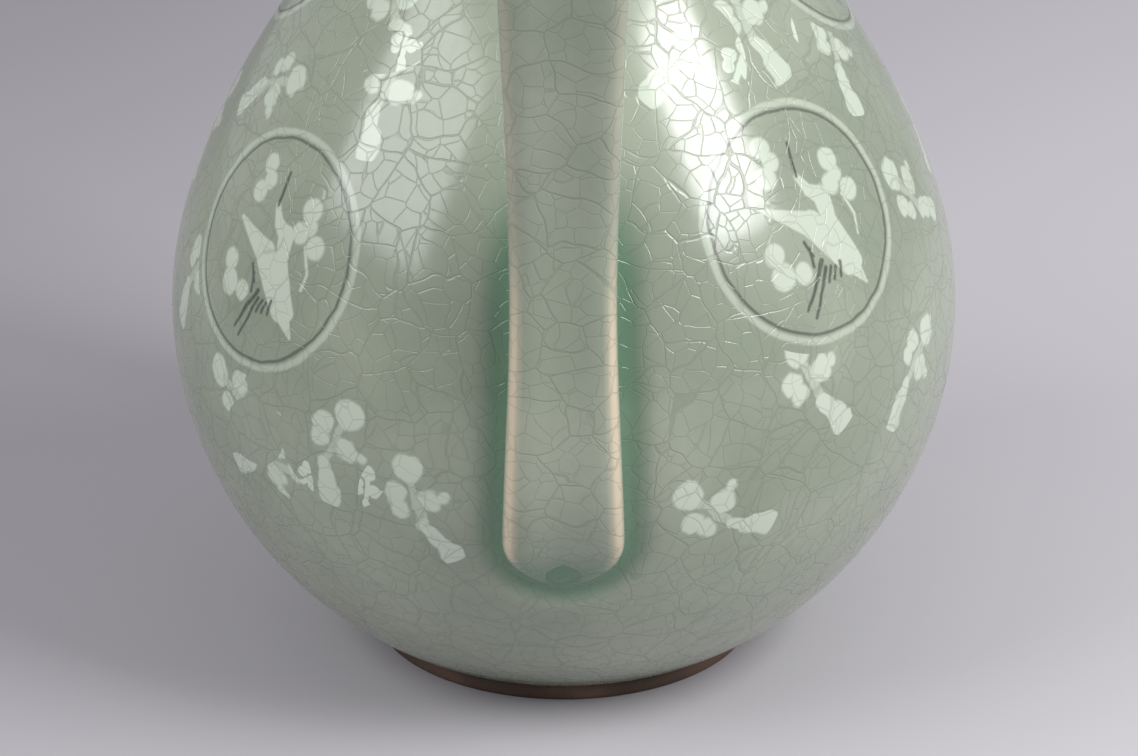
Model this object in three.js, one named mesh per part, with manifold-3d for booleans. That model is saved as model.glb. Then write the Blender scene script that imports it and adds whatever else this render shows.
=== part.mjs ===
// A celadon double gourd ewer in stoneware: two thrown gourds luted at a waist, a turned foot ring, a strap
// handle, an S-shaped spout and a small plugged lid. Millimetres, +Z up. The axis of the pot is Z and the
// foot stands on Z = 0. The handle is towards -Y and the spout towards +Y.
import * as THREE from "three";
import { mergeVertices } from "three/addons/utils/BufferGeometryUtils.js";
import Module from "manifold-3d";

const wasm = await Module();
wasm.setup();

// Driving sizes of the two gourds and the foot
const FOOT_RADIUS = 42.6;
const FOOT_RING_WIDTH = 6.5;
const FOOT_HEIGHT = 4.2;
const FOOT_BEVEL = 1;
const FOOT_OVERHANG = 1.6; // the belly stands out past the foot ring by this
const BELLY_RADIUS = 85;
const BELLY_LEVEL = 77; // height of the widest part
const SHOULDER_RADIUS = 44;
const SHOULDER_RISE = 86; // from the belly to where the shoulder turns hollow
const SHOULDER_SLOPE = 40; // degrees from upright
const WAIST_RADIUS = 21;
const WAIST_RISE = 27;
const CROWN_RADIUS = 40; // widest part of the upper gourd
const CROWN_RISE = 42;
const NECK_SLOPE_RADIUS = 19.5;
const NECK_SLOPE_RISE = 36; // from the crown to where its shoulder turns hollow
const NECK_RADIUS = 12.6;
const NECK_RISE = 12;
const LOWER_WALL = 4.6;
const UPPER_WALL = 3.6;
const FLOOR_THICKNESS = 7;
const LUTE_THICKNESS = 1; // the ring of slip between the two gourds
const GAP = 0.3; // left between pieces that are luted or seated

// Driving sizes of the mouth and lid
const MOUTH_BORE = 9;
const COLLAR_RADIUS = 14;
const COLLAR_HEIGHT = 5.6;
const COLLAR_BEVEL = 1.4;
const PLUG_CLEARANCE = 0.5;
const PLUG_DEPTH = 11;
const LID_RADIUS = 15;
const LID_EDGE = 2.4;
const LID_DOME = 5.5;
const STEM_HEIGHT = 24;
const STEM_RADIUS = 4.2;
const STEM_END_RADIUS = 2.8;
const STEM_LEAN = 7; // how far its cut end leans to the spout's side

// Driving sizes of the handle
const HANDLE_WIDTH = 20.5; // at its narrowest, where it leaves the belly
const HANDLE_ROOT_WIDTH = 24.5;
const HANDLE_TOP_WIDTH = 24.5;
const HANDLE_THICKNESS = 9;
const HANDLE_GROOVE = 1.2; // depth of the hollow along its outer face
const HANDLE_STAND = 6.2; // how far the root stands out of the belly
const HANDLE_TIP_LEVEL = 46;
const HANDLE_TIP_ROUND = 13; // length of the rounded end
const HANDLE_LEAVE_LEVEL = 112; // where the handle parts from the belly
const HANDLE_REACH = 99.5; // middle of the strap at its furthest from the axis
const HANDLE_REACH_LEVEL = 198;
const HANDLE_SEAT_ANGLE = 30; // degrees that its top end comes down at
const HANDLE_ARCH = 40; // how far the top end's slope carries on outwards

// Driving sizes of the spout
const SPOUT_ROOT_LEVEL = 106;
const SPOUT_ROOT_ANGLE = 38; // degrees above level
const SPOUT_ROOT_RADIUS = 16;
const SPOUT_NECK_RADIUS = 7.6;
const SPOUT_TIP_RADIUS = 6.2;
const SPOUT_WALL = 2;
const SPOUT_BEND_REACH = 95.2;
const SPOUT_BEND_LEVEL = 168;
const SPOUT_TIP_REACH = 98;
const SPOUT_TIP_LEVEL = 249;
const SPOUT_TIP_ANGLE = 9; // degrees from upright, outwards
const SPOUT_HOLE_RADIUS = 6; // through the wall of the lower gourd

// Levels that follow from them
const BELLY_START = FOOT_HEIGHT + GAP;
const LOWER_FLOOR = BELLY_START + FLOOR_THICKNESS;
const SHOULDER_LEVEL = BELLY_LEVEL + SHOULDER_RISE;
const WAIST_LEVEL = SHOULDER_LEVEL + WAIST_RISE;
const UPPER_START = WAIST_LEVEL + GAP + LUTE_THICKNESS + GAP;
const CROWN_LEVEL = WAIST_LEVEL + CROWN_RISE;
const NECK_SLOPE_LEVEL = CROWN_LEVEL + NECK_SLOPE_RISE;
const NECK_LEVEL = NECK_SLOPE_LEVEL + NECK_RISE;
const COLLAR_START = NECK_LEVEL + GAP;
const LID_START = COLLAR_START + COLLAR_HEIGHT + GAP;
const LID_TOP = LID_START + LID_EDGE + LID_DOME;

// How finely round pieces are faceted
const GOURD_SIDES = 36;
const SMALL_SIDES = 20;
const SPOUT_SIDES = 14;
const SWEEP_STEPS = 20;

const { lerp, smoothstep, degToRad } = THREE.MathUtils;
const flat = (x, y) => new THREE.Vector2(x, y);
const bezier = (...corners) => new THREE.CubicBezierCurve(...corners);

// The curve from a widest point in to a sloping turn, and the hollow curve from there to an upright neck
function shoulderCurves(widest, turn, neck) {
  const slope = degToRad(SHOULDER_SLOPE);
  const along = flat(-Math.sin(slope), Math.cos(slope));
  const rise = turn.y - widest.y;
  const hollow = neck.y - turn.y;
  const full = bezier(
    widest,
    flat(widest.x, widest.y + 0.384 * rise),
    turn.clone().addScaledVector(along, -0.267 * rise),
    turn,
  );
  const inward = bezier(
    turn,
    turn.clone().addScaledVector(along, 0.44 * hollow),
    flat(neck.x, neck.y - 0.4 * hollow),
    neck,
  );
  return [...full.getPoints(7).slice(1), ...inward.getPoints(4).slice(1)];
}

// Outline of the lower gourd, x the radius and y the level: a round belly, a full shoulder and the waist
function lowerOutline() {
  const baseRadius = FOOT_RADIUS + FOOT_OVERHANG;
  const start = Math.asin(baseRadius / BELLY_RADIUS);
  const drop = (BELLY_LEVEL - BELLY_START) / Math.cos(start);
  const steps = 7;
  const belly = [];
  for (let i = 0; i <= steps; i++) {
    const angle = lerp(start, Math.PI / 2, i / steps);
    belly.push(flat(BELLY_RADIUS * Math.sin(angle), BELLY_LEVEL - drop * Math.cos(angle)));
  }
  const turn = flat(SHOULDER_RADIUS, SHOULDER_LEVEL);
  return [...belly, ...shoulderCurves(belly[steps], turn, flat(WAIST_RADIUS, WAIST_LEVEL))];
}

// Outline of the upper gourd, which flares from the waist to its crown and draws in to the neck
function upperOutline() {
  const crown = flat(CROWN_RADIUS, CROWN_LEVEL);
  const flare = bezier(
    flat(WAIST_RADIUS, UPPER_START),
    flat(WAIST_RADIUS, UPPER_START + 0.24 * CROWN_RISE),
    flat(CROWN_RADIUS, CROWN_LEVEL - 0.56 * CROWN_RISE),
    crown,
  );
  const turn = flat(NECK_SLOPE_RADIUS, NECK_SLOPE_LEVEL);
  return [...flare.getPoints(7), ...shoulderCurves(crown, turn, flat(NECK_RADIUS, NECK_LEVEL))];
}

// An outline moved in towards the hollow of the pot, or out for a negative distance
function offsetOutline(points, distance) {
  return points.map((point, i) => {
    const before = points[Math.max(i - 1, 0)];
    const after = points[Math.min(i + 1, points.length - 1)];
    const along = after.clone().sub(before).normalize();
    return flat(point.x - along.y * distance, point.y + along.x * distance);
  });
}

function radiusAt(points, level) {
  const i = points.findIndex((point, k) => k > 0 && point.y >= level);
  const [low, high] = [points[i - 1], points[i]];
  return lerp(low.x, high.x, (level - low.y) / (high.y - low.y));
}

const LOWER_OUTLINE = lowerOutline();
const UPPER_OUTLINE = upperOutline();

function lathe(points, sides = SMALL_SIDES) {
  return new THREE.LatheGeometry(points, sides).rotateX(Math.PI / 2);
}

// A geometry as a solid that can be joined and cut, and a solid as a geometry
function solidOf(geometry) {
  const bare = new THREE.BufferGeometry().setAttribute("position", geometry.getAttribute("position"));
  bare.setIndex(geometry.getIndex());
  const merged = mergeVertices(bare, 1e-4);
  const index = merged.getIndex().array;
  const corners = [];
  for (let i = 0; i < index.length; i += 3) {
    const [a, b, c] = [index[i], index[i + 1], index[i + 2]];
    if (a !== b && b !== c && c !== a) corners.push(a, b, c);
  }
  const vertProperties = new Float32Array(merged.getAttribute("position").array);
  return new wasm.Manifold(new wasm.Mesh({ numProp: 3, vertProperties, triVerts: new Uint32Array(corners) }));
}

function geometryOf(solid) {
  const mesh = solid.getMesh();
  const geometry = new THREE.BufferGeometry();
  geometry.setAttribute("position", new THREE.BufferAttribute(mesh.vertProperties, 3));
  return geometry.setIndex(new THREE.BufferAttribute(mesh.triVerts, 1));
}

// A closed skin over rings of points that turn anticlockwise about the way they follow each other
function loft(rings) {
  const count = rings[0].length;
  const last = (rings.length - 1) * count;
  const faces = [];
  for (let first = 0; first < last; first += count) {
    for (let i = 0; i < count; i++) {
      const [a, b] = [first + i, first + ((i + 1) % count)];
      faces.push(a, b, a + count, b, b + count, a + count);
    }
  }
  for (let i = 1; i + 1 < count; i++) faces.push(0, i + 1, i, last, last + i, last + i + 1);
  return new THREE.BufferGeometry().setFromPoints(rings.flat()).setIndex(faces);
}

// A section swept along curves in the plane of the handle and spout. The curves give points as (distance
// from the axis, level), side is -1 for the handle and 1 for the spout, and section gives its outline at a
// share of the way as (across, outwards). Shares past 0 and 1 carry straight on.
function sweep(curves, side, shares, section) {
  const path = new THREE.CurvePath();
  curves.forEach((curve) => path.add(curve));
  const length = path.getLength();
  const rings = shares.map((share) => {
    const within = THREE.MathUtils.clamp(share, 0, 1);
    const step = 1e-3;
    const before = path.getPointAt(Math.max(within - step, 0));
    const along = path.getPointAt(Math.min(within + step, 1)).sub(before).normalize();
    const at = path.getPointAt(within).addScaledVector(along, (share - within) * length);
    const ring = section(share, at).map(([across, outwards]) => {
      const distance = at.x + outwards * along.y;
      return new THREE.Vector3(across, side * distance, at.y - outwards * along.x);
    });
    return side < 0 ? ring.reverse() : ring;
  });
  return loft(rings);
}

function roundSection(radius, sides) {
  return Array.from({ length: sides }, (_, i) => {
    const angle = (2 * Math.PI * i) / sides;
    return [radius * Math.cos(angle), radius * Math.sin(angle)];
  });
}

function evenShares(steps, power = 1) {
  return Array.from({ length: steps + 1 }, (_, i) => (i / steps) ** power);
}

// The pot's outside as one full solid, grown by the gap, which trims what is luted to it
function trimmingSolid() {
  const grown = offsetOutline([...LOWER_OUTLINE, ...UPPER_OUTLINE], -GAP);
  const top = grown[grown.length - 1];
  return solidOf(lathe([flat(0, grown[0].y), ...grown, flat(0, top.y)], GOURD_SIDES));
}

function footRing() {
  const inner = FOOT_RADIUS - FOOT_RING_WIDTH;
  const corners = [
    flat(inner, 0),
    flat(FOOT_RADIUS - FOOT_BEVEL, 0),
    flat(FOOT_RADIUS, FOOT_BEVEL),
    flat(FOOT_RADIUS, FOOT_HEIGHT),
    flat(inner - FOOT_BEVEL, FOOT_HEIGHT),
    flat(inner, 0),
  ];
  return lathe(corners, GOURD_SIDES);
}

// The lower gourd is hollow, with a flat floor and a hole through its wall under the spout
function lowerGourd(spoutLine) {
  const neckBore = flat(WAIST_RADIUS - LOWER_WALL, WAIST_LEVEL);
  const hollow = offsetOutline(LOWER_OUTLINE, LOWER_WALL)
    .slice(0, -1)
    .filter((point) => point.x > neckBore.x && point.y > LOWER_FLOOR + LOWER_WALL);
  const floor = [flat(FOOT_RADIUS, LOWER_FLOOR), flat(0, LOWER_FLOOR)];
  const outside = [flat(0, BELLY_START), ...LOWER_OUTLINE];
  const gourd = solidOf(lathe([...outside, neckBore, ...hollow.reverse(), ...floor], GOURD_SIDES));
  const hole = sweep(spoutLine, 1, [-0.1, 0.13], () => roundSection(SPOUT_HOLE_RADIUS, SPOUT_SIDES));
  return geometryOf(gourd.subtract(solidOf(hole)));
}

function waistLute() {
  const bore = WAIST_RADIUS - LOWER_WALL;
  const [low, high] = [WAIST_LEVEL + GAP, WAIST_LEVEL + GAP + LUTE_THICKNESS];
  const corners = [flat(bore, low), flat(WAIST_RADIUS, low), flat(WAIST_RADIUS, high), flat(bore, high)];
  return lathe([...corners, corners[0].clone()], GOURD_SIDES);
}

function upperGourd() {
  const waistBore = flat(WAIST_RADIUS - LOWER_WALL, UPPER_START);
  const hollow = offsetOutline(UPPER_OUTLINE, UPPER_WALL)
    .slice(1, -1)
    .filter((point) => point.x > MOUTH_BORE + GAP && point.y > UPPER_START);
  const mouth = flat(MOUTH_BORE, NECK_LEVEL);
  const corners = [waistBore, ...UPPER_OUTLINE, mouth, ...hollow.reverse(), waistBore.clone()];
  return lathe(corners, GOURD_SIDES);
}

// The collar is a turned bead round the mouth
function mouthCollar() {
  const top = COLLAR_START + COLLAR_HEIGHT;
  const corners = [
    flat(MOUTH_BORE, COLLAR_START),
    flat(COLLAR_RADIUS - COLLAR_BEVEL, COLLAR_START),
    flat(COLLAR_RADIUS, COLLAR_START + COLLAR_BEVEL),
    flat(COLLAR_RADIUS, top - COLLAR_BEVEL),
    flat(COLLAR_RADIUS - COLLAR_BEVEL, top),
    flat(MOUTH_BORE, top),
    flat(MOUTH_BORE, COLLAR_START),
  ];
  return lathe(corners);
}

// Middle line of the spout, an S that starts inside the lower gourd
function spoutCurves() {
  const rootAngle = degToRad(SPOUT_ROOT_ANGLE);
  const tipAngle = degToRad(SPOUT_TIP_ANGLE);
  const heading = flat(Math.cos(rootAngle), Math.sin(rootAngle));
  const seat = flat(radiusAt(LOWER_OUTLINE, SPOUT_ROOT_LEVEL), SPOUT_ROOT_LEVEL);
  const start = seat.clone().addScaledVector(heading, -SPOUT_ROOT_RADIUS);
  const bend = flat(SPOUT_BEND_REACH, SPOUT_BEND_LEVEL);
  const tip = flat(SPOUT_TIP_REACH, SPOUT_TIP_LEVEL);
  const lowRise = SPOUT_BEND_LEVEL - SPOUT_ROOT_LEVEL;
  const highRise = SPOUT_TIP_LEVEL - SPOUT_BEND_LEVEL;
  const tipHeading = flat(Math.sin(tipAngle), Math.cos(tipAngle));
  return [
    bezier(start, seat.clone().addScaledVector(heading, 0.2 * lowRise), flat(bend.x, bend.y - 0.45 * lowRise), bend),
    bezier(bend, flat(bend.x, bend.y + 0.4 * highRise), tip.clone().addScaledVector(tipHeading, -0.35 * highRise), tip),
  ];
}

function spoutRadius(share) {
  const neck = lerp(SPOUT_NECK_RADIUS, SPOUT_TIP_RADIUS, share);
  return neck + (SPOUT_ROOT_RADIUS - neck) * (1 - smoothstep(share, 0.04, 0.45));
}

function spout(spoutLine, trimming) {
  const skin = (thickness) => (share) => roundSection(spoutRadius(share) - thickness, SPOUT_SIDES);
  const outside = solidOf(sweep(spoutLine, 1, evenShares(SWEEP_STEPS), skin(0)));
  const bore = solidOf(sweep(spoutLine, 1, [...evenShares(SWEEP_STEPS), 1.02], skin(SPOUT_WALL)));
  return geometryOf(outside.subtract(bore).subtract(trimming));
}

// Middle line of the handle, from inside the belly at its tip, up and over to inside the upper gourd
function handleCurves() {
  const half = HANDLE_THICKNESS / 2;
  const tipRadius = radiusAt(LOWER_OUTLINE, HANDLE_TIP_LEVEL);
  const seatAngle = degToRad(HANDLE_SEAT_ANGLE);
  const tip = flat(tipRadius - HANDLE_THICKNESS, HANDLE_TIP_LEVEL - half);
  const leave = flat(BELLY_RADIUS + HANDLE_STAND - half, HANDLE_LEAVE_LEVEL);
  const reach = flat(HANDLE_REACH, HANDLE_REACH_LEVEL);
  const seat = flat(CROWN_RADIUS - half, CROWN_LEVEL + half);
  const overTheTop = flat(Math.cos(seatAngle), Math.sin(seatAngle));
  const rise = HANDLE_REACH_LEVEL - HANDLE_LEAVE_LEVEL;
  const rootRise = HANDLE_LEAVE_LEVEL - HANDLE_TIP_LEVEL;
  return [
    bezier(tip, flat(leave.x + 1, tip.y + 0.17 * rootRise), flat(leave.x, leave.y - 0.45 * rootRise), leave),
    bezier(leave, flat(leave.x, leave.y + 0.42 * rise), flat(reach.x, reach.y - 0.33 * rise), reach),
    bezier(reach, flat(reach.x, CROWN_LEVEL), seat.clone().addScaledVector(overTheTop, HANDLE_ARCH), seat),
  ];
}

// A strap with rounded rims and a shallow groove down its outer face, rounded off at its lower end
function handleSection(share, at) {
  const leaving = smoothstep(at.y, HANDLE_TIP_LEVEL, HANDLE_LEAVE_LEVEL);
  const rising = smoothstep(at.y, HANDLE_LEAVE_LEVEL, HANDLE_REACH_LEVEL);
  const fullWidth = lerp(lerp(HANDLE_ROOT_WIDTH, HANDLE_WIDTH, leaving), HANDLE_TOP_WIDTH, rising);
  const intoTip = THREE.MathUtils.clamp((at.y - HANDLE_TIP_LEVEL) / HANDLE_TIP_ROUND, 0.02, 1);
  const w = (fullWidth / 2) * Math.sqrt(1 - (1 - intoTip) ** 2);
  const t = HANDLE_THICKNESS / 2;
  const groove = HANDLE_GROOVE;
  const half = [
    [0.86 * w, -0.9 * t],
    [w, -0.3 * t],
    [w, 0.5 * t],
    [0.86 * w, t],
    [0.6 * w, t - 0.5 * groove],
  ];
  const mirrored = half.map(([across, outwards]) => [-across, outwards]).reverse();
  return [[0, -t], ...half, [0, t - groove], ...mirrored];
}

function handle(trimming) {
  const strap = sweep(handleCurves(), -1, evenShares(SWEEP_STEPS, 1.5), handleSection);
  return geometryOf(solidOf(strap).subtract(trimming));
}

// The lid's cap is a low dome with a flat for the stem, and its plug hangs in the mouth
function lidCap() {
  const dome = new THREE.EllipseCurve(0, LID_START + LID_EDGE, LID_RADIUS, LID_DOME, 0, Math.PI / 2);
  const rounded = dome.getPoints(6).filter((point) => point.x > STEM_RADIUS + 1);
  const corners = [flat(0, LID_START), flat(LID_RADIUS - 1, LID_START), flat(LID_RADIUS, LID_START + 1)];
  return lathe([...corners, ...rounded, flat(STEM_RADIUS + 1, LID_TOP), flat(0, LID_TOP)]);
}

function lidPlug() {
  const radius = MOUTH_BORE - PLUG_CLEARANCE;
  const [low, high] = [LID_START - PLUG_DEPTH, LID_START - GAP];
  return lathe([flat(0, low), flat(radius - 1, low), flat(radius, low + 1), flat(radius, high), flat(0, high)]);
}

// The stem is a gourd's stalk, bent over and cut off square
function lidStem() {
  const start = flat(0, LID_TOP + GAP);
  const end = flat(STEM_LEAN, start.y + STEM_HEIGHT);
  const stalk = bezier(start, flat(0, start.y + 0.5 * STEM_HEIGHT), flat(0, end.y - 0.3 * STEM_HEIGHT), end);
  const section = (share) => roundSection(lerp(STEM_RADIUS, STEM_END_RADIUS, smoothstep(share, 0, 0.6)), 12);
  return sweep([stalk], 1, evenShares(8), section);
}

const GLAZE = new THREE.MeshStandardMaterial({ color: 0xa3b09c, roughness: 0.12, metalness: 0 });
const BARE_CLAY = new THREE.MeshStandardMaterial({ color: 0x6e5446, roughness: 0.75, metalness: 0 });

const pot = new THREE.Group();
const lid = new THREE.Group();
const ewer = new THREE.Group();
ewer.add(pot, lid);

function place(group, name, geometry, finish = GLAZE) {
  const mesh = new THREE.Mesh(geometry, finish.clone());
  mesh.name = name;
  group.add(mesh);
}

const spoutLine = spoutCurves();
const trimming = trimmingSolid();
place(pot, "foot_ring", footRing(), BARE_CLAY);
place(pot, "lower_gourd", lowerGourd(spoutLine));
place(pot, "waist_lute", waistLute());
place(pot, "upper_gourd", upperGourd());
place(pot, "mouth_collar", mouthCollar());
place(pot, "spout", spout(spoutLine, trimming));
place(pot, "handle", handle(trimming));
place(lid, "lid_cap", lidCap());
place(lid, "lid_plug", lidPlug());
place(lid, "lid_stem", lidStem());

export default ewer;
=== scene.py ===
"""The looks of a celadon double gourd ewer with inlaid cranes and clouds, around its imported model."""

import math

import bpy
import numpy as np
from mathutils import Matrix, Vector


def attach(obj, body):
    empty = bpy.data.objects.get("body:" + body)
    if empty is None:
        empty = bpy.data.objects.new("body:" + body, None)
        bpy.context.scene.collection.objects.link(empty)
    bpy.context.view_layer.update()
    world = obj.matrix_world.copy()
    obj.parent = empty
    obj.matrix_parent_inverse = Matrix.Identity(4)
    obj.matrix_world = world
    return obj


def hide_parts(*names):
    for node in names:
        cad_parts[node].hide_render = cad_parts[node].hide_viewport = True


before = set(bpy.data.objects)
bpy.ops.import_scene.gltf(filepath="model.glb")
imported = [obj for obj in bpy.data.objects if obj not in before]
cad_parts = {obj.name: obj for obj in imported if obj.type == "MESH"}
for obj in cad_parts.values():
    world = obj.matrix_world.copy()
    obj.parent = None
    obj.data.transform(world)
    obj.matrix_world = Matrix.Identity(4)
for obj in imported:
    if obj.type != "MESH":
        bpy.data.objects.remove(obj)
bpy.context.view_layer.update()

# Lower gourd
# A stoneware gourd thrown on the wheel, inlaid with white and black slip under crackled celadon glaze.
# Its round belly rises to a full shoulder and a hollow waist. Lengths are in mm, down to the studio.
MM = 0.001  # in metres, which Blender works in
GAP = 0.3  # left between pieces that are luted or seated
FOOT_RADIUS = 42.6
FOOT_OVERHANG = 1.6  # the belly stands out past the foot ring by this
FOOT_HEIGHT = 4.2
BELLY_RADIUS = 85
BELLY_LEVEL = 77
BELLY_START = FOOT_HEIGHT + GAP
SHOULDER = (44, 163)  # radius and level where the shoulder turns hollow
SLOPE = math.radians(40)  # from upright, there
WAIST = (21, 190)
LOWER_WALL = 4.6
FLOOR_THICKNESS = 7
FLOOR_LEVEL = BELLY_START + FLOOR_THICKNESS
FULL_PULLS = (0.384, 0.267)  # how long a curve keeps its way at each end, as shares of its rise
HOLLOW_PULLS = (0.44, 0.4)
BELLY_POINTS = 50
SHOULDER_POINTS = 36
GOURD_SIDES = 288
INSIDE_STEP = 8  # the unseen inside keeps one point in this many


def curve(corners, count):
    """Points on a cubic Bezier curve."""
    t = np.linspace(0, 1, count)[:, None]
    a, b, c, d = np.array(corners, float)
    return (1 - t) ** 3 * a + 3 * (1 - t) ** 2 * t * b + 3 * (1 - t) * t * t * c + t**3 * d


def shoulder_curves(widest, turn, neck, count):
    """The full curve from a widest point in to a slope, and the hollow one up to the neck."""
    widest, turn, neck = (np.array(point, float) for point in (widest, turn, neck))
    along = np.array([-math.sin(SLOPE), math.cos(SLOPE)])
    rise = turn[1] - widest[1]
    hollow = neck[1] - turn[1]
    leaving = widest + [0, FULL_PULLS[0] * rise]
    arriving = turn - FULL_PULLS[1] * rise * along
    full = curve([widest, leaving, arriving, turn], 2 * count)
    leaving = turn + HOLLOW_PULLS[0] * hollow * along
    arriving = neck - [0, HOLLOW_PULLS[1] * hollow]
    inward = curve([turn, leaving, arriving, neck], count)
    return np.vstack([full, inward[1:]])


def lower_profile():
    """Radius and level along the outside, from the foot to the waist."""
    start = math.asin((FOOT_RADIUS + FOOT_OVERHANG) / BELLY_RADIUS)
    drop = (BELLY_LEVEL - BELLY_START) / math.cos(start)
    turned = np.linspace(start, math.pi / 2, BELLY_POINTS)
    belly = np.c_[BELLY_RADIUS * np.sin(turned), BELLY_LEVEL - drop * np.cos(turned)]
    shoulder = shoulder_curves((BELLY_RADIUS, BELLY_LEVEL), SHOULDER, WAIST, SHOULDER_POINTS)
    return np.vstack([belly[:-1], shoulder])


def inset(profile, distance):
    """A profile moved in towards the hollow of the pot."""
    along = np.gradient(profile, axis=0)
    along /= np.linalg.norm(along, axis=1)[:, None]
    return profile + distance * np.c_[-along[:, 1], along[:, 0]]


def mesh_object(name, points, faces):
    mesh = bpy.data.meshes.new(name)
    mesh.from_pydata([tuple(point) for point in points], [], faces)
    mesh.validate()
    mesh.shade_smooth()
    piece = bpy.data.objects.new(name, mesh)
    bpy.context.scene.collection.objects.link(piece)
    return piece


def revolve(name, profile, sides):
    """A profile turned about Z, closed as a ring unless it starts and ends on the axis."""
    points = []
    rows = []
    for radius, level in profile:
        if radius == 0:
            rows.append([len(points)] * sides)
            points.append((0, 0, level * MM))
            continue
        rows.append(list(range(len(points), len(points) + sides)))
        for i in range(sides):
            turn = 2 * math.pi * i / sides
            points.append((radius * MM * math.sin(turn), -radius * MM * math.cos(turn), level * MM))
    pairs = list(zip(rows, rows[1:]))
    if profile[0][0] > 0:
        pairs.append((rows[-1], rows[0]))
    faces = []
    for low, high in pairs:
        for i in range(sides):
            k = (i + 1) % sides
            corners = list(dict.fromkeys([low[i], low[k], high[k], high[i]]))
            if len(corners) > 2:
                faces.append(corners)
    return mesh_object(name, points, faces)


def places_on(piece):
    """Where a piece's points are, in mm."""
    places = np.empty(len(piece.data.vertices) * 3)
    piece.data.vertices.foreach_get("co", places)
    return places.reshape(-1, 3) / MM


def glaze_depth(piece, pool=0.0, thin=0.0):
    """Marks, from 0 to 1, where on a piece the glaze pools and where it runs thin."""
    for name, values in (("pool", pool), ("thin", thin)):
        layer = piece.data.attributes.new(name, "FLOAT", "POINT")
        layer.data.foreach_set("value", np.full(len(piece.data.vertices), values, np.float32))


def finished(piece, body, node, material):
    """Rides a piece on its body, lets it stand for its node and gives it its finish."""
    piece.data.materials.append(material)
    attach(piece, body)
    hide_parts(node)


class Sock:
    """A value in a material's nodes, with arithmetic that adds Math nodes."""

    def __init__(self, nodes, socket):
        self.nodes = nodes
        self.socket = socket

    def math(self, operation, *others):
        return self.nodes.add("ShaderNodeMath", {"operation": operation}, [self, *others])

    def __add__(self, other):
        return self.math("ADD", other)

    def __sub__(self, other):
        return self.math("SUBTRACT", other)

    def __mul__(self, other):
        return self.math("MULTIPLY", other)

    def __truediv__(self, other):
        return self.math("DIVIDE", other)

    def __rsub__(self, other):
        return self.nodes.add("ShaderNodeMath", {"operation": "SUBTRACT"}, [other, self])

    __radd__ = __add__
    __rmul__ = __mul__

    def least(self, other):
        return self.math("MINIMUM", other)

    def most(self, other):
        return self.math("MAXIMUM", other)

    def ramp(self, low, high):
        """0 at low and 1 at high, eased at both ends; low may be above high."""
        settings = {"interpolation_type": "SMOOTHSTEP", "clamp": True}
        if low < high:
            return self.nodes.add("ShaderNodeMapRange", settings, [self, low, high, 0.0, 1.0])
        return self.nodes.add("ShaderNodeMapRange", settings, [self, high, low, 1.0, 0.0])


class Nodes:
    """The nodes of one material. Its textures lie in the place of the piece's own points, in metres."""

    def __init__(self, name):
        self.material = bpy.data.materials.new(name)
        self.material.use_nodes = True
        self.tree = self.material.node_tree
        self.surface = self.tree.nodes["Principled BSDF"]
        self.place = self.add("ShaderNodeTexCoord", output="Object")

    def add(self, kind, settings=None, inputs=(), output=0):
        node = self.tree.nodes.new(kind)
        for key, value in (settings or {}).items():
            setattr(node, key, value)
        pairs = inputs.items() if isinstance(inputs, dict) else enumerate(inputs)
        for key, value in pairs:
            self.feed(node.inputs[key], value)
        return Sock(self, node.outputs[output])

    def feed(self, target, value):
        if isinstance(value, Sock):
            self.tree.links.new(value.socket, target)
        elif isinstance(value, (tuple, list)) and len(target.default_value) == 4:
            target.default_value = (*value[:3], 1)
        else:
            target.default_value = value

    def finish(self, **values):
        """Feeds the surface's sockets, whose names are given with low lines for spaces."""
        for name, value in values.items():
            self.feed(self.surface.inputs[name.replace("_", " ")], value)

    def bump(self, strength, distance, height):
        inputs = {"Strength": strength, "Distance": distance, "Height": height}
        return self.add("ShaderNodeBump", {}, inputs)

    def mask(self, name):
        """A mask that was marked on a piece's points."""
        return self.add("ShaderNodeAttribute", {"attribute_name": name}, output="Fac")

    def vector(self, operation, *values, output=0):
        return self.add("ShaderNodeVectorMath", {"operation": operation}, values, output)

    def distance(self, point):
        return self.vector("DISTANCE", self.place, tuple(point), output="Value")

    def along(self, way):
        return self.vector("DOT_PRODUCT", self.place, tuple(way), output="Value")

    def mix(self, share, low, high):
        return self.add("ShaderNodeMix", {"data_type": "RGBA"}, {0: share, 6: low, 7: high}, 2)

    def noise(self, scale, detail=2.0, output=0):
        inputs = {"Vector": self.place, "Scale": scale, "Detail": detail}
        return self.add("ShaderNodeTexNoise", {"noise_dimensions": "3D"}, inputs, output)

    def cells(self, place, width, feature, output=0):
        inputs = {"Vector": place, "Scale": 1 / width, "Randomness": 0.95}
        return self.add("ShaderNodeTexVoronoi", {"feature": feature}, inputs, output)


GREEN = (0.245, 0.285, 0.214)
GREEN_PALE = (0.315, 0.352, 0.27)
GREEN_GRAIN = (0.2, 0.235, 0.17)
POOL_GREEN = (0.08, 0.185, 0.105)
CRACK_GREEN = (0.12, 0.15, 0.1)
THIN_TAN = (0.66, 0.56, 0.4)
WHITE_SLIP = (0.56, 0.63, 0.52)
BLACK_SLIP = (0.03, 0.034, 0.028)
WHITE_SHOWS = 0.82  # how strongly each shows through the glaze
BLACK_SHOWS = 0.78
POOL_SHOWS = 0.85
GRAIN_SHOWS = 0.12
CRACKS_SHOW = 0.27
CRACKLE_CELL = 10 * MM
FINE_CELL = 4.6 * MM
CRACKLE_SWAY = 6 * MM
CELL_SHIFT = 0.4  # in metres: fine cracks differ from cell to cell, so they end on the long ones
SHORT_DEPTH = 0.75  # of the long cracks' depth
GLAZE_RELIEF = 0.35 * MM


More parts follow.
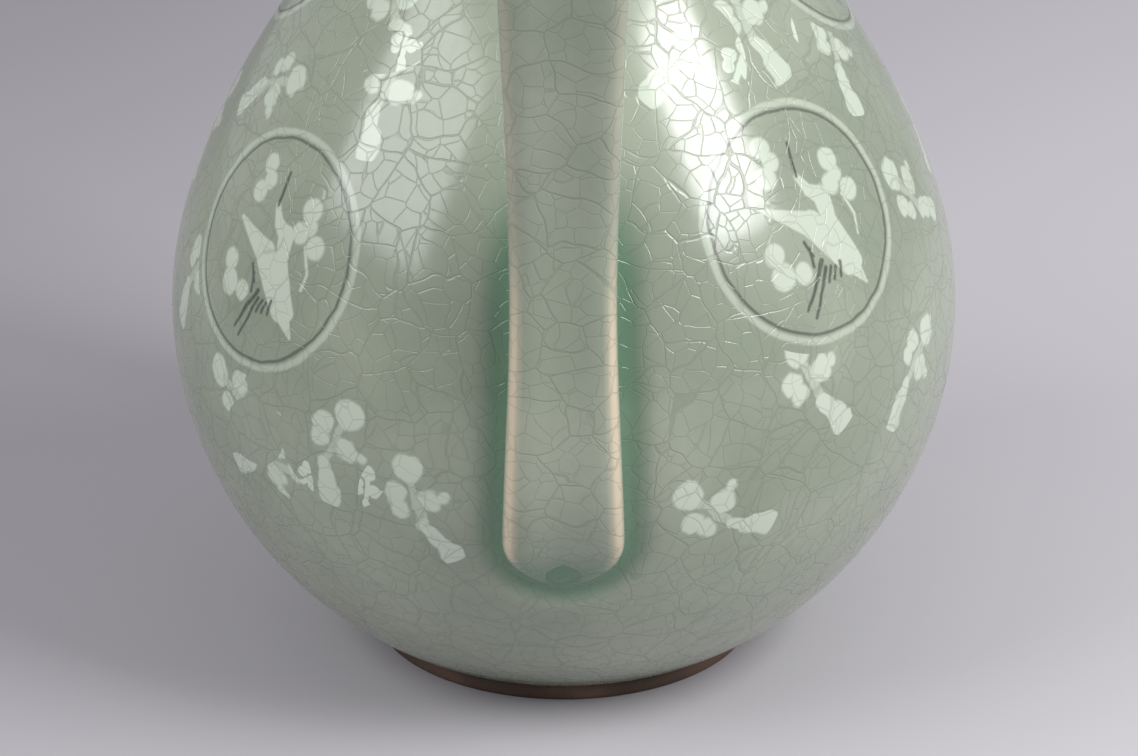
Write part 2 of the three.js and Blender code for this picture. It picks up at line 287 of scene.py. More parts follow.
def crackle(nodes):
    """Depth of the glaze's cracks: long ones first, and shorter ones that end on them."""
    sway = nodes.vector("SUBTRACT", nodes.noise(70, output="Color"), (0.5, 0.5, 0.5))
    bent = nodes.vector("MULTIPLY_ADD", sway, (CRACKLE_SWAY,) * 3, nodes.place)
    long_cracks = nodes.cells(bent, CRACKLE_CELL, "DISTANCE_TO_EDGE")
    own = nodes.cells(bent, CRACKLE_CELL, "F1", "Color")
    shifted = nodes.vector("MULTIPLY_ADD", own, (CELL_SHIFT,) * 3, bent)
    short_cracks = nodes.cells(shifted, FINE_CELL, "DISTANCE_TO_EDGE")
    return long_cracks.ramp(0.022, 0.004).most(short_cracks.ramp(0.034, 0.006) * SHORT_DEPTH)


def celadon(nodes, white, black, pool, thin):
    """Glaze over clay, or over slip at white and black. It is deep at pool and scant at thin."""
    cracks = crackle(nodes)
    cloudy = nodes.noise(22, 3.0).ramp(0.35, 0.65)
    grain = nodes.noise(420).ramp(0.3, 0.7)
    colour = nodes.mix(cloudy, GREEN, GREEN_PALE)
    colour = nodes.mix(grain * GRAIN_SHOWS, colour, GREEN_GRAIN)
    colour = nodes.mix(white * WHITE_SHOWS, colour, WHITE_SLIP)
    colour = nodes.mix(black * BLACK_SHOWS, colour, BLACK_SLIP)
    colour = nodes.mix(thin, colour, THIN_TAN)
    colour = nodes.mix(pool * POOL_SHOWS, colour, POOL_GREEN)
    colour = nodes.mix(cracks * CRACKS_SHOW, colour, CRACK_GREEN)
    height = nodes.noise(60) * 0.5 - cracks * 0.3 + (white + black) * 0.05
    nodes.finish(Base_Color=colour, Roughness=0.15 + grain * 0.05 + cracks * 0.12)
    nodes.finish(Normal=nodes.bump(0.55, GLAZE_RELIEF, height), Specular_IOR_Level=0.55)
    nodes.finish(Coat_Weight=0.2, Coat_Roughness=0.1)


# The inlay covers the upper gourd too, so its outline is needed here
LUTE_THICKNESS = 1
LUTE_LOW = WAIST[1] + GAP
LUTE_HIGH = LUTE_LOW + LUTE_THICKNESS
UPPER_START = LUTE_HIGH + GAP
CROWN = (40, 232)
NECK_TURN = (19.5, 268)
NECK = (12.6, 280)
FLARE_PULLS = (10.1, 23.5)
FLARE_POINTS = 30
NECK_POINTS = 22


def upper_profile():
    """Radius and level along the outside, from the waist to the neck."""
    start = (WAIST[0], UPPER_START)
    leaving = (WAIST[0], UPPER_START + FLARE_PULLS[0])
    arriving = (CROWN[0], CROWN[1] - FLARE_PULLS[1])
    flare = curve([start, leaving, arriving, CROWN], FLARE_POINTS)
    return np.vstack([flare[:-1], shoulder_curves(CROWN, NECK_TURN, NECK, NECK_POINTS)])


LOWER_PROFILE = lower_profile()
UPPER_PROFILE = upper_profile()


def on_surface(azimuth, level):
    """Place, rightward way and upward way on the outside at an azimuth, in degrees, and a level."""
    profile = LOWER_PROFILE if level < WAIST[1] else UPPER_PROFILE
    radius = np.interp(level, profile[:, 1], profile[:, 0])
    above = np.interp(level + 1, profile[:, 1], profile[:, 0])
    turn = math.radians(azimuth)
    out = np.array([math.sin(turn), -math.cos(turn), 0])
    right = np.array([math.cos(turn), math.sin(turn), 0])
    up = (above - radius) * out + np.array([0, 0, 1])
    place = radius * out + np.array([0, 0, level])
    return place * MM, right, up / np.linalg.norm(up)


# Inlaid roundels, each with a crane among clouds, by azimuth and level.
# They lie in two rows on the lower gourd and one on the upper.
ROUNDEL_RADIUS = 22.5
ROUNDEL_REACH = 26.5
ROUNDEL_TILT = 0.06  # at most, in radians
WHITE_RING = 1.4  # how far the white ring lies outside the black one
ROUNDELS = [(39.9, 115.6), (-49.1, 107.4), (130, 113), (-140, 111), (-93, 160), (85.4, 160)]
ROUNDELS += [(-52, 232), (52, 232), (145, 232), (-145, 232)]

# Strokes in mm right and up from a roundel's middle: start, end and the half width at each
CRANE_BODY = [
    ((-0.4, 8.8), (1.8, 5.6), 0.7, 1.2),
    ((1.8, 5.6), (4.8, 4.0), 1.3, 2.0),
    ((4.8, 4.0), (5.6, -1.0), 2.2, 1.8),
    ((-10.6, 3.4), (0.6, -1.2), 0.4, 2.7),
    ((0.6, -1.2), (8.8, -9.6), 2.9, 3.0),
    ((5.6, -1.0), (11.2, -10.0), 1.8, 1.5),
    ((9.0, -9.8), (13.0, -14.6), 2.4, 0.3),
    ((10.8, 3.6), (13.2, -1.0), 0.35, 0.3),
    ((13.2, -1.0), (12.9, -4.6), 0.3, 0.25),
]
CRANE_LINES = [
    ((-0.4, 15.7), (-0.4, 9.0), 0.3, 0.4),
    ((-2.4, -4.2), (-0.6, -7.4), 0.32, 0.3),
    ((-1.2, -5.8), (-0.9, -9.4), 0.34, 0.3),
    ((1.3, -8.6), (-4.2, -17.6), 0.5, 0.25),
    ((1.9, -10.0), (-2.4, -19.2), 0.42, 0.25),
    ((3.3, -10.0), (2.1, -12.8), 0.35, 0.25),
    ((4.6, -10.2), (3.6, -12.4), 0.32, 0.25),
    ((6.0, -9.4), (5.6, -12.2), 0.35, 0.25),
]

# Puffs of cloud: right, up and radius
ROUNDEL_PUFFS = [(-7.1, 15.6, 2.2), (-5.6, 12.6, 2.0), (-7.6, 9.6, 2.3), (9.2, 11.0, 2.5)]
ROUNDEL_PUFFS += [(10.2, 7.8, 1.9), (8.4, 6.0, 2.3), (13.2, 4.4, 2.4), (-10.0, -5.6, 2.4)]
ROUNDEL_PUFFS += [(-8.8, -10.0, 2.8), (-3.9, -10.2, 2.2)]

# Loose clouds by azimuth, level and turn in radians, all of one shape
CLOUD_REACH = 13.5
CLOUD_PUFFS = [(0.6, 3.6, 2.1), (4.0, 4.4, 2.4), (9.6, 0.6, 3.2), (2.6, -2.9, 2.7), (3.4, -6.2, 1.2)]
CLOUD_TAIL = ((-3.6, -0.4), (-10.6, -4.6), 1.5, 2.7)
CLOUD_STEM = ((-3.6, -0.4), (9.6, 0.6), 1.0, 0.9)
STEM_SHOWS = 0.6
CLOUDS = [(-66, 134, 0.3), (-35, 139, 1.2), (-68, 94, 0.8), (-40, 153, 2.0), (25, 147, 0.2)]
CLOUDS += [(42, 150, 1.5), (64, 140, 0.9), (68, 110, 2.2), (36, 84, 1.9), (57, 79, 0.6), (-50, 75, 2.6)]
CLOUDS += [(-33, 72, 1.0), (-46, 64, 0.0), (-20, 62, 1.7), (22, 60, 2.4), (-88, 118, 1.4), (90, 118, 0.4)]
CLOUDS += [(-95, 78, 0.1), (95, 78, 1.1), (110, 140, 2.0), (150, 145, 0.5), (-115, 140, 1.2)]
CLOUDS += [(-160, 145, 0.2), (125, 80, 2.8), (155, 82, 0.9), (-125, 79, 0.3), (-160, 84, 1.8)]
CLOUDS += [(100, 60, 0.8), (-100, 60, 2.2), (175, 60, 1.3), (-90, 255, 0.5), (90, 255, 1.8)]
CLOUDS += [(0, 262, 0.9), (180, 262, 2.1), (95, 215, 0.1), (-95, 215, 1.6)]


def local_place(nodes, spots, reach):
    """Rightward and upward distance in mm from whichever spot is near, and 1 near a spot."""
    across = along = near = None
    for azimuth, level, turn in spots:
        middle, right, up = on_surface(azimuth, level)
        c, s = math.cos(turn), math.sin(turn)
        right, up = c * right + s * up, c * up - s * right
        here = nodes.distance(middle).math("LESS_THAN", reach * MM)
        u = (nodes.along(right) - float(middle @ right)) * here / MM
        v = (nodes.along(up) - float(middle @ up)) * here / MM
        across = u if across is None else across + u
        along = v if along is None else along + v
        near = here if near is None else near + here
    return across, along, near


def stroke(u, v, start, end, first, last):
    """1 inside a stroke that tapers from one half width to another, soft at its edge."""
    way = np.subtract(end, start)
    length = float(np.hypot(*way))
    x, y = (float(share) for share in way / length)
    du, dv = u - start[0], v - start[1]
    along = (du * x + dv * y).most(0.0).least(length)
    du, dv = du - along * x, dv - along * y
    away = (du * du + dv * dv).math("SQRT")
    return (away - along * ((last - first) / length) - first).ramp(0.35, -0.25)


def puff(u, v, x, y, radius):
    """1 inside a round puff, soft at its edge."""
    du, dv = u - x, v - y
    return ((du * du + dv * dv).math("SQRT") - radius).ramp(0.45, -0.45)


def union(masks):
    whole = masks[0]
    for mask in masks[1:]:
        whole = whole.most(mask)
    return whole


def inlay(nodes):
    """The white and the black slip of the whole pattern, a little uneven as when it is cut by hand."""
    tilted = [(azimuth, level, ROUNDEL_TILT * math.sin(3.1 * azimuth)) for azimuth, level in ROUNDELS]
    uneven = nodes.noise(190) - 0.5
    u, v, in_roundel = local_place(nodes, tilted, ROUNDEL_REACH)
    u, v = u + uneven, v - uneven * 0.9
    away = (u * u + v * v).math("SQRT")
    black_ring = (away - ROUNDEL_RADIUS).math("ABSOLUTE").ramp(0.5, 0.1) * 0.8
    white_ring = (away - (ROUNDEL_RADIUS + WHITE_RING)).math("ABSOLUTE").ramp(1.0, 0.3) * 0.62
    crane = [stroke(u, v, *line) for line in CRANE_BODY]
    puffs = [puff(u, v, *shape) for shape in ROUNDEL_PUFFS]
    lines = [stroke(u, v, *line) for line in CRANE_LINES]
    a, b, by_cloud = local_place(nodes, CLOUDS, CLOUD_REACH)
    a, b = a + uneven * 3.4, b - uneven * 3.0
    cloud = [puff(a, b, *shape) for shape in CLOUD_PUFFS]
    cloud += [stroke(a, b, *CLOUD_TAIL), stroke(a, b, *CLOUD_STEM) * STEM_SHOWS]
    loose = union(cloud) * by_cloud * (1 - in_roundel)
    white = union([*crane, white_ring, *puffs]) * in_roundel
    return white.most(loose), union([*lines, black_ring]) * in_roundel


# The handle's outline on the belly, where glaze pools beside it in a shallow trench
HANDLE_TIP = 46
HANDLE_LEAVE = 112
ROOT_HALF_WIDTH = 12.2
LEAVE_HALF_WIDTH = 10.2
TRENCH_DEPTH = 1.3
TRENCH_HALF_WIDTH = 3
TRENCH_MIDDLE = 2.2  # how far the trench's deepest line lies outside the handle
TRENCH_TOP = 130
TRENCH_FADE = 20
POOL_WIDTH = 7
SKIN = 0.1  # a point no deeper than this under the profile is on the outside


def handle_distance(x, z):
    """How far a place lies outside the handle's outline on the pot's front."""
    share = np.clip((z - HANDLE_TIP) / (HANDLE_LEAVE - HANDLE_TIP), 0, 1)
    half = ROOT_HALF_WIDTH + (LEAVE_HALF_WIDTH - ROOT_HALF_WIDTH) * share
    below = np.maximum(HANDLE_TIP + half - z, 0)
    return np.hypot(x, below) - half


lower_inside = inset(LOWER_PROFILE, LOWER_WALL)[::INSIDE_STEP]
lower_inside = lower_inside[lower_inside[:, 1] > FLOOR_LEVEL + LOWER_WALL][::-1]
lower_rings = [(0, BELLY_START), *LOWER_PROFILE, (WAIST[0] - LOWER_WALL, WAIST[1]), *lower_inside[1:]]
lower_rings += [(FOOT_RADIUS, FLOOR_LEVEL), (0, FLOOR_LEVEL)]
lower_gourd = revolve("lower_gourd_glazed", lower_rings, GOURD_SIDES)
places = places_on(lower_gourd)
x, y, z = places.T
from_handle = handle_distance(x, z)
fade = np.clip((TRENCH_TOP - z) / TRENCH_FADE, 0, 1) * (y < 0)
trench = TRENCH_DEPTH * fade * np.exp(-(((from_handle - TRENCH_MIDDLE) / TRENCH_HALF_WIDTH) ** 2))
radius = np.hypot(x, y)
outside = radius > np.interp(z, LOWER_PROFILE[:, 1], LOWER_PROFILE[:, 0]) - SKIN
places[:, :2] *= (1 - np.where(outside, trench, 0) / np.maximum(radius, 1))[:, None]
lower_gourd.data.vertices.foreach_set("co", (places * MM).ravel())
glaze_depth(lower_gourd, pool=np.clip(1 - from_handle / POOL_WIDTH, 0, 1) * fade)

inlaid = Nodes("inlaid_celadon")
white_slip, black_slip = inlay(inlaid)
pooled = inlaid.mask("pool").ramp(0.0, 0.75)
celadon(inlaid, white_slip * (1 - pooled), black_slip * (1 - pooled), pooled, 0.0)
finished(lower_gourd, "ewer", "lower_gourd", inlaid.material)

# Upper gourd and waist
# A smaller gourd, thrown apart from the lower one and inlaid and glazed like it.
# The two are luted together at the waist with a ring of slip, where the glaze gathers.
UPPER_WALL = 3.6
MOUTH_BORE = 9
UPPER_INSIDE_STEP = 6
UPPER_SIDES = 160
LUTE_BULGE = 0.25
LUTE_SIDES = 128
LUTE_POOL = 0.7
upper_inside = inset(UPPER_PROFILE, UPPER_WALL)[::UPPER_INSIDE_STEP]
upper_inside = upper_inside[upper_inside[:, 0] > MOUTH_BORE + GAP][::-1]
waist_bore = WAIST[0] - LOWER_WALL
upper_rings = [(waist_bore, UPPER_START), *UPPER_PROFILE, (MOUTH_BORE, NECK[1]), *upper_inside[:-1]]
upper_gourd = revolve("upper_gourd_glazed", upper_rings, UPPER_SIDES)
glaze_depth(upper_gourd)
finished(upper_gourd, "ewer", "upper_gourd", inlaid.material)

plain = Nodes("plain_celadon")
celadon(plain, 0.0, 0.0, plain.mask("pool"), plain.mask("thin"))


def bead(radius, bulge, low, high, count):
    """Half a round from a low level to a high one, standing out from a radius."""
    middle, half = (low + high) / 2, (high - low) / 2
    turns = np.linspace(-math.pi / 2, math.pi / 2, count)
    return [(radius + bulge * math.cos(t), middle + half * math.sin(t)) for t in turns]


lute_bead = bead(WAIST[0], LUTE_BULGE, LUTE_LOW, LUTE_HIGH, 8)
lute_rings = [(waist_bore, LUTE_LOW), *lute_bead, (waist_bore, LUTE_HIGH)]
waist_lute = revolve("waist_lute_glazed", lute_rings, LUTE_SIDES)
glaze_depth(waist_lute, pool=LUTE_POOL)
finished(waist_lute, "ewer", "waist_lute", plain.material)

# Mouth collar
# A rounded bead of clay, turned and luted round the mouth, for the lid to rest on.
# The glaze runs thin and tan over its upper edge.
COLLAR_HEIGHT = 5.6
COLLAR_LOW = NECK[1] + GAP
COLLAR_HIGH = COLLAR_LOW + COLLAR_HEIGHT
COLLAR_BULGE = 1.4
COLLAR_SIDES = 96
collar_bead = bead(NECK[0], COLLAR_BULGE, COLLAR_LOW, COLLAR_HIGH, 20)
collar_rings = [(MOUTH_BORE, COLLAR_LOW), *collar_bead, (MOUTH_BORE, COLLAR_HIGH)]
mouth_collar = revolve("mouth_collar_glazed", collar_rings, COLLAR_SIDES)
below_rim = COLLAR_HIGH - places_on(mouth_collar)[:, 2]
glaze_depth(mouth_collar, thin=0.8 * np.clip((1.3 - below_rim) / 1.2, 0, 1))
finished(mouth_collar, "ewer", "mouth_collar", plain.material)

# Foot ring
# A low ring turned from the base, with softened edges, that the ewer stands on.
# It is wiped bare of glaze, so the iron in the clay fires it reddish brown. Its colours are also darkened
# with painted shade, for the shadow under the belly.
FOOT_RING_WIDTH = 6.5
FOOT_LEAN = 1  # its bore is narrower by this at the top
FOOT_SIDES = 160
EDGE = 1
# Reddish brown clay colours, darkened with painted shade for the shadow under the belly
CLAY_DARK_WITH_PAINTED_SHADE = (0.06, 0.034, 0.024)
CLAY_BROWN_WITH_PAINTED_SHADE = (0.115, 0.07, 0.048)
GROG = (0.06, 0.045, 0.035)


def turned_edge(radius, level):
    """The softened lower edge of a turned piece."""
    return [(radius - EDGE, level), (radius - 0.3 * EDGE, level + 0.3 * EDGE), (radius, level + EDGE)]


foot_bore = FOOT_RADIUS - FOOT_RING_WIDTH
foot_rings = [(foot_bore, 0), *turned_edge(FOOT_RADIUS, 0), (FOOT_RADIUS, FOOT_HEIGHT)]
foot_ring = revolve("foot_ring_bare", [*foot_rings, (foot_bore - FOOT_LEAN, FOOT_HEIGHT)], FOOT_SIDES)

clay = Nodes("bare_clay")
grog = clay.noise(900, 4.0)
scorch = clay.noise(45).ramp(0.35, 0.65)
# The bare clay's colour, with painted shade darkening it
clay_colour_with_painted_shade = clay.mix(grog.ramp(0.55, 0.75) * 0.6, clay.mix(scorch, CLAY_DARK_WITH_PAINTED_SHADE, CLAY_BROWN_WITH_PAINTED_SHADE), GROG)
clay.finish(Base_Color=clay_colour_with_painted_shade, Roughness=0.7 + grog * 0.2, Normal=clay.bump(0.6, 0.2 * MM, grog))
finished(foot_ring, "ewer", "foot_ring", clay.material)

# Handle
# A pulled strap with rounded rims and a shallow groove, pressed onto the belly and the upper gourd.
# Glaze is thin and tan on its rims and gathers green at its tip.
STRAP_WIDTH = 20.5  # where it leaves the belly
STRAP_END_WIDTH = 24.5
STRAP_HALF_THICKNESS = 4.5
STRAP_GROOVE = 1.2
GROOVE_SHARE = 0.82  # of the strap's width
TIP_ROUND = 12  # length of the rounded tip
TIP_THIN = 0.55  # the tip's thickness as a share of the strap's
TIP_THICKENS = 26  # length over which it gets its full thickness
RIM_FADE = (96, 128)  # levels between which the tan of its rims fades
ROOT_POOL_TOP = 125
STRAP_POINTS = 40
STRAP_STEPS = 220
HANDLE_REACH = (99.5, 198)  # furthest from the axis

# Reach and level along the middle of the strap, upwards from inside the belly's wall
HANDLE_CURVES = [
    [(70.1, 41.5), (87.7, 52.7), (86.7, 82.3), (86.7, HANDLE_LEAVE)],
    [(86.7, HANDLE_LEAVE), (86.7, 148.1), (99.5, 169.6), HANDLE_REACH],
    [HANDLE_REACH, (99.5, 232), (70.1, 256.5), (35.5, 236.5)],
]


def along_curves(curves, count):
    """Points evenly spread along joined curves, with their direction."""
    dense = np.vstack([curve(corners, 200)[min(i, 1):] for i, corners in enumerate(curves)])
    gone = np.r_[0, np.cumsum(np.linalg.norm(np.diff(dense, axis=0), axis=1))]
    wanted = np.linspace(0, gone[-1], count)
    points = np.c_[np.interp(wanted, gone, dense[:, 0]), np.interp(wanted, gone, dense[:, 1])]
    ways = np.gradient(points, axis=0)
    return points, ways / np.linalg.norm(ways, axis=1)[:, None]


def swept(curves, side, count, section):
    """Points and walls of a section carried along curves, on the handle's side, -1, or the spout's, 1."""
    shares = np.linspace(0, 1, count)
    points = []
    for share, (reach, level), (outward, upward) in zip(shares, *along_curves(curves, count)):
        ring = section(share, level)
        for across, out in ring:
            distance = side * (reach + out * upward)
            points.append((across * MM, distance * MM, (level - out * outward) * MM))
    around = len(ring)
    walls = []
    for start in range(0, len(points) - around, around):
        for i in range(around):
            k = (i + 1) % around
            wall = [start + i, start + k, start + around + k, start + around + i]
            walls.append(wall[::side])
    return points, walls


def closed_sweep(name, curves, side, count, section):
    """A mesh of a section carried along curves, with both ends closed."""
    points, walls = swept(curves, side, count, section)
    around = len(points) // count
    first = list(range(around))
    last = list(range(len(points) - around, len(points)))
    return mesh_object(name, points, [*walls, first[::-side], last[::side]])


def eased(value, low, high):
    """0 up to low and 1 from high on, eased at both ends."""
    t = np.clip((value - low) / (high - low), 0, 1)
    return t * t * (3 - 2 * t)


def strap_section(_, level):
    """Across and outwards round the strap at a level, with its groove on the outer side."""
    widens = 1 - eased(level, HANDLE_TIP, HANDLE_LEAVE) + eased(level, HANDLE_LEAVE, HANDLE_REACH[1])
    width = STRAP_WIDTH + (STRAP_END_WIDTH - STRAP_WIDTH) * widens
    into_tip = np.clip((level - HANDLE_TIP) / TIP_ROUND, 0.004, 1)
    half = width / 2 * math.sqrt(1 - (1 - into_tip) ** 2)
    full = eased(level, HANDLE_TIP, HANDLE_TIP + TIP_THICKENS)
    thick = STRAP_HALF_THICKNESS * (TIP_THIN + (1 - TIP_THIN) * full)
    ring = []
    for i in range(STRAP_POINTS):
        turn = 2 * math.pi * i / STRAP_POINTS - math.pi / 2
        c, s = math.cos(turn), math.sin(turn)
        across = half * math.copysign(abs(c) ** 0.62, c)
        out = thick * math.copysign(abs(s) ** 0.55, s)
        if s > 0:
            from_groove = min(1, abs(across) / max(half, 0.01) / GROOVE_SHARE)
            out -= STRAP_GROOVE * math.cos(math.pi / 2 * from_groove) ** 2
        ring.append((across, out))
    return ring


handle = closed_sweep("handle_glazed", HANDLE_CURVES, -1, STRAP_STEPS, strap_section)
handle_level = places_on(handle)[:, 2]
strap_turn = 2 * np.pi * (np.arange(len(handle_level)) % STRAP_POINTS) / STRAP_POINTS - np.pi / 2
outer_side = np.sin(strap_turn) > 0
belly_side = np.sin(strap_turn) < -0.1
rim = outer_side * np.exp(-(((np.abs(np.cos(strap_turn)) - 0.84) / 0.13) ** 2))
above_tip = eased(handle_level, HANDLE_TIP + 2, HANDLE_TIP + 9)
low_on_belly = 0.95 - 0.75 * eased(handle_level, *RIM_FADE)
tip_pool = 0.75 * (1 - eased(handle_level, HANDLE_TIP + 1, HANDLE_TIP + 12))
root_pool = 0.45 * belly_side * (handle_level < ROOT_POOL_TOP)
glaze_depth(handle, pool=np.maximum(tip_pool, root_pool), thin=rim * low_on_belly * above_tip)
finished(handle, "ewer", "handle", plain.material)

# Spout
# A thrown tube, tapered and bent to an S, luted over a hole in the belly and open at its lip.
# Glaze pools where it meets the belly and runs thin at the lip.
SPOUT_ROOT_LEVEL = 106
SPOUT_ROOT_ANGLE = math.radians(38)  # above level
SPOUT_SINK = 16  # how far its middle line starts inside the belly
SPOUT_ROOT_RADIUS = 16
SPOUT_NECK_RADIUS = 7.6
SPOUT_TIP_RADIUS = 6.2
SPOUT_WALL = 2
SPOUT_BEND = np.array([95.2, 168])
SPOUT_TIP = np.array([98, 249])
SPOUT_TIP_ANGLE = math.radians(9)  # from upright
SPOUT_POOL = 3.5  # how far from the belly the glaze pools
SPOUT_FREE = 140  # from this level on, no glaze pools
SPOUT_SIDES = 48
SPOUT_STEPS = 110


def spout_curves():
    """Reach and level along the middle of the tube, upwards from inside the belly."""
    seat_radius = np.interp(SPOUT_ROOT_LEVEL, LOWER_PROFILE[:, 1], LOWER_PROFILE[:, 0])
    seat = np.array([seat_radius, SPOUT_ROOT_LEVEL])
    heading = np.array([math.cos(SPOUT_ROOT_ANGLE), math.sin(SPOUT_ROOT_ANGLE)])
    lean = np.array([math.sin(SPOUT_TIP_ANGLE), math.cos(SPOUT_TIP_ANGLE)])
    low_rise = SPOUT_BEND[1] - SPOUT_ROOT_LEVEL
    high_rise = SPOUT_TIP[1] - SPOUT_BEND[1]
    start = seat - SPOUT_SINK * heading
    leaving = seat + 0.2 * low_rise * heading
    arriving = SPOUT_TIP - 0.35 * high_rise * lean
    low = [start, leaving, SPOUT_BEND - [0, 0.45 * low_rise], SPOUT_BEND]
    high = [SPOUT_BEND, SPOUT_BEND + [0, 0.4 * high_rise], arriving, SPOUT_TIP]
    return [low, high]


def spout_section(wall):
    """Makes the section of the tube at a depth of wall under its skin."""

    def section(share, _):
        neck = SPOUT_NECK_RADIUS + (SPOUT_TIP_RADIUS - SPOUT_NECK_RADIUS) * share
        radius = neck + (SPOUT_ROOT_RADIUS - neck) * (1 - eased(share, 0.04, 0.45)) - wall
        turns = [2 * math.pi * i / SPOUT_SIDES for i in range(SPOUT_SIDES)]
        return [(radius * math.cos(t), radius * math.sin(t)) for t in turns]

    return section


skin_points, skin = swept(spout_curves(), 1, SPOUT_STEPS, spout_section(0))
bore_points, bore = swept(spout_curves(), 1, SPOUT_STEPS, spout_section(SPOUT_WALL))
inward = len(skin_points)
lining = [[corner + inward for corner in reversed(wall)] for wall in bore]
lip = inward - SPOUT_SIDES
rims = []
for i in range(SPOUT_SIDES):
    k = (i + 1) % SPOUT_SIDES
    rims.append((lip + i, lip + k, inward + lip + k, inward + lip + i))
    rims.append((k, i, inward + i, inward + k))
spout = mesh_object("spout_tube_glazed", skin_points + bore_points, skin + lining + rims)
x, y, z = places_on(spout).T
from_belly = np.hypot(x, y) - np.interp(z, LOWER_PROFILE[:, 1], LOWER_PROFILE[:, 0])
root_pool = np.clip(1 - from_belly / SPOUT_POOL, 0, 1) * (z < SPOUT_FREE)
glaze_depth(spout, pool=root_pool, thin=0.7 * eased(z, SPOUT_TIP[1] - 2.4, SPOUT_TIP[1] - 0.4))
finished(spout, "ewer", "spout", plain.material)

# Lid
# A low domed cap with a plug of bare clay under it that drops into the mouth.
# Its knob is a bent gourd stalk with five soft ribs, cut off square. Glaze gathers at its root.
LID_START = COLLAR_HIGH + GAP
LID_RADIUS = 15
LID_EDGE = 2.4
LID_DOME = 5.5
LID_TOP = LID_START + LID_EDGE + LID_DOME
LID_SIDES = 96
PLUG_RADIUS = MOUTH_BORE - 0.5
PLUG_DEPTH = 11
PLUG_SIDES = 72
STALK_RADIUS = 4.2
STALK_END_RADIUS = 2.8
STALK_HEIGHT = 24
STALK_LEAN = 7
STALK_RIBS = 5
STALK_SIDES = 40

dome_turns = np.linspace(0, 1.2, 24)
dome = [(LID_RADIUS * math.cos(t), LID_START + LID_EDGE + LID_DOME * math.sin(t)) for t in dome_turns]
cap_rings = [(0, LID_START), *turned_edge(LID_RADIUS, LID_START), *dome, (0, LID_TOP)]
lid_cap = revolve("lid_cap_glazed", cap_rings, LID_SIDES)
x, y, z = places_on(lid_cap).T
edge_thin = 0.7 * (1 - eased(np.abs(z - LID_START - 1.2), 0.4, 1.4))
glaze_depth(lid_cap, pool=0.5 * (1 - eased(np.hypot(x, y), 4.0, 7.5)), thin=edge_thin)
finished(lid_cap, "lid", "lid_cap", plain.material)

plug_low = LID_START - PLUG_DEPTH
plug_high = LID_START - GAP
plug_edge = turned_edge(PLUG_RADIUS, plug_low)
plug_rings = [(0, plug_low), *plug_edge, (PLUG_RADIUS, plug_high), (0, plug_high)]
lid_plug = revolve("lid_plug_bare", plug_rings, PLUG_SIDES)
# The plug takes the bare clay's colour, darkened with painted shade
finished(lid_plug, "lid", "lid_plug", clay.material)


def stalk_section(share, _):
    """The ribbed section of the stalk, thinner towards its cut end."""
    radius = STALK_RADIUS + (STALK_END_RADIUS - STALK_RADIUS) * eased(share, 0, 0.6)
    ring = []
    for i in range(STALK_SIDES):
        turn = 2 * math.pi * i / STALK_SIDES
        ribbed = radius * (1 + 0.05 * math.cos(STALK_RIBS * turn)) - 0.15
        ring.append((ribbed * math.cos(turn), ribbed * math.sin(turn)))
    return ring


stalk_start = LID_TOP + GAP
stalk_low, stalk_high = stalk_start + 0.5 * STALK_HEIGHT, stalk_start + 0.7 * STALK_HEIGHT
stalk = [(0, stalk_start), (0, stalk_low), (0, stalk_high), (STALK_LEAN, stalk_start + STALK_HEIGHT)]
lid_stem = closed_sweep("lid_stem_glazed", [stalk], 1, 40, stalk_section)
stem_level = places_on(lid_stem)[:, 2]
root_pool = 0.6 * (1 - eased(stem_level, LID_TOP + 0.4, LID_TOP + 3.9))
cut_thin = 0.6 * eased(stem_level, LID_TOP + 20.9, LID_TOP + 23.9)
glaze_depth(lid_stem, pool=root_pool, thin=cut_thin)
finished(lid_stem, "lid", "lid_stem", plain.material)

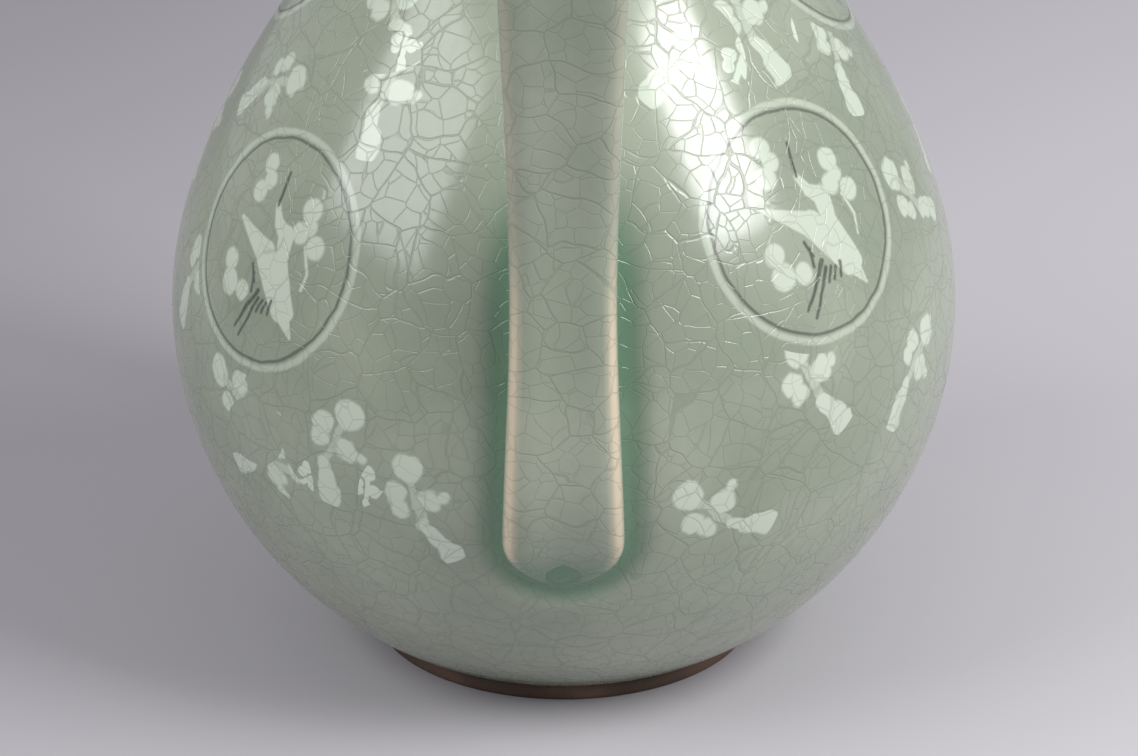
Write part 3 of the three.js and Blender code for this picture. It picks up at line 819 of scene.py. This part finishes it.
# Studio
# A seamless grey table in a soft sky of much the same grey. The table's colour runs from painted shade on
# the left to painted light on the right.
# Two softboxes show as long highlights on the shoulder, left and right of the handle.
# The table's two colours: painted shade for its left, painted light for its right
TABLE_PAINTED_SHADE = (0.35, 0.335, 0.36)
TABLE_PAINTED_LIGHT = (0.6, 0.585, 0.61)
TABLE_REACH = 3  # lengths of the studio are in metres
SKY = (0.5, 0.5, 0.53)
SKY_STRENGTH = 0.85
POT_MIDDLE = np.array([0, 0, 0.11])
SOFTBOX_DISTANCE = 1.1
SOFTBOX_HEIGHT = 0.62

scene = bpy.context.scene
scene.view_settings.view_transform = "Standard"
corners = [(x * TABLE_REACH, y * TABLE_REACH, 0) for x, y in ((-1, -1), (1, -1), (1, 1), (-1, 1))]
floor = mesh_object("floor", corners, [(0, 1, 2, 3)])
table = Nodes("grey_table")
# Painted light and shade: the table is paler to the right and darker to the left
painted_light_to_the_right = table.add("ShaderNodeSeparateXYZ", {}, [table.place], "X").ramp(-0.32, 0.36)
table_colour_with_painted_light = table.mix(painted_light_to_the_right, TABLE_PAINTED_SHADE, TABLE_PAINTED_LIGHT)
table.finish(Base_Color=table_colour_with_painted_light, Roughness=0.8, Specular_IOR_Level=0.1)
floor.data.materials.append(table.material)

world = bpy.data.worlds.new("soft_sky")
world.use_nodes = True
background = world.node_tree.nodes["Background"]
background.inputs["Color"].default_value = (*SKY, 1)
background.inputs["Strength"].default_value = SKY_STRENGTH
scene.world = world


def softbox(name, way, width, power):
    """An oblong light that looks at the middle of the pot from a direction."""
    light = bpy.data.lights.new(name, "AREA")
    light.shape = "RECTANGLE"
    light.size = width
    light.size_y = SOFTBOX_HEIGHT
    light.energy = power
    lamp = bpy.data.objects.new(name, light)
    scene.collection.objects.link(lamp)
    way = np.array(way) / np.linalg.norm(way)
    lamp.location = POT_MIDDLE + SOFTBOX_DISTANCE * way
    lamp.rotation_euler = Vector(tuple(-way)).to_track_quat("-Z", "Y").to_euler()


softbox("left_softbox", (-0.72, -0.38, 0.58), 0.72, 6.5)
softbox("right_softbox", (0.68, -0.42, 0.62), 0.42, 11.5)

camera_data = bpy.data.cameras.new("camera")
camera_data.lens = 100
camera_data.sensor_width = 36
camera = bpy.data.objects.new("camera", camera_data)
scene.collection.objects.link(camera)
camera.location = (0.0011, -0.6439, 0.3272)
camera.rotation_euler = (math.radians(67.28), 0, 0)
scene.camera = camera
